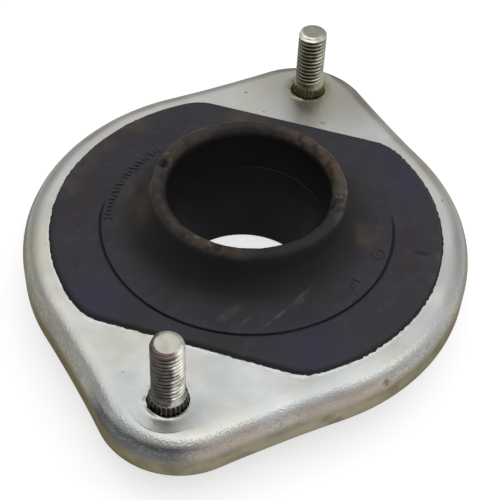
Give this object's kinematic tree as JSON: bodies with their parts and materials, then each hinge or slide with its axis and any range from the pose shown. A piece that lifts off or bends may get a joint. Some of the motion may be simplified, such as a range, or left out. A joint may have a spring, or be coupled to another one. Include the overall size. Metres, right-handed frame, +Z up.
{
  "type": "strut mount",
  "caption": "Pressed steel shell with a bonded rubber insulator, a flanged steel sleeve inside its collar and knurled studs that bolt it to a body panel.",
  "frame": {"origin": "centre of the sleeve's foot, on the surface that the part stands on", "axes": "+Z up along the bore's axis, towards the collar and the studs' points; +X through both stud axes"},
  "size_m": [0.146, 0.118, 0.0447],
  "materials": {
    "zinc_plated_steel": "pale zinc plating, satin, slightly mottled",
    "drawn_steel": "drawn steel, dull",
    "black_rubber": "moulded rubber, matt, with a brown bloom on the lip",
    "plated_stud_steel": "rolled thread, thin zinc plating"
  },
  "bodies": {
    "root": {"pressed_shell": "zinc_plated_steel", "inner_sleeve": "drawn_steel", "rubber_insulator": "black_rubber", "stud_left": "plated_stud_steel", "stud_right": "plated_stud_steel"}
  },
  "joints": []
}
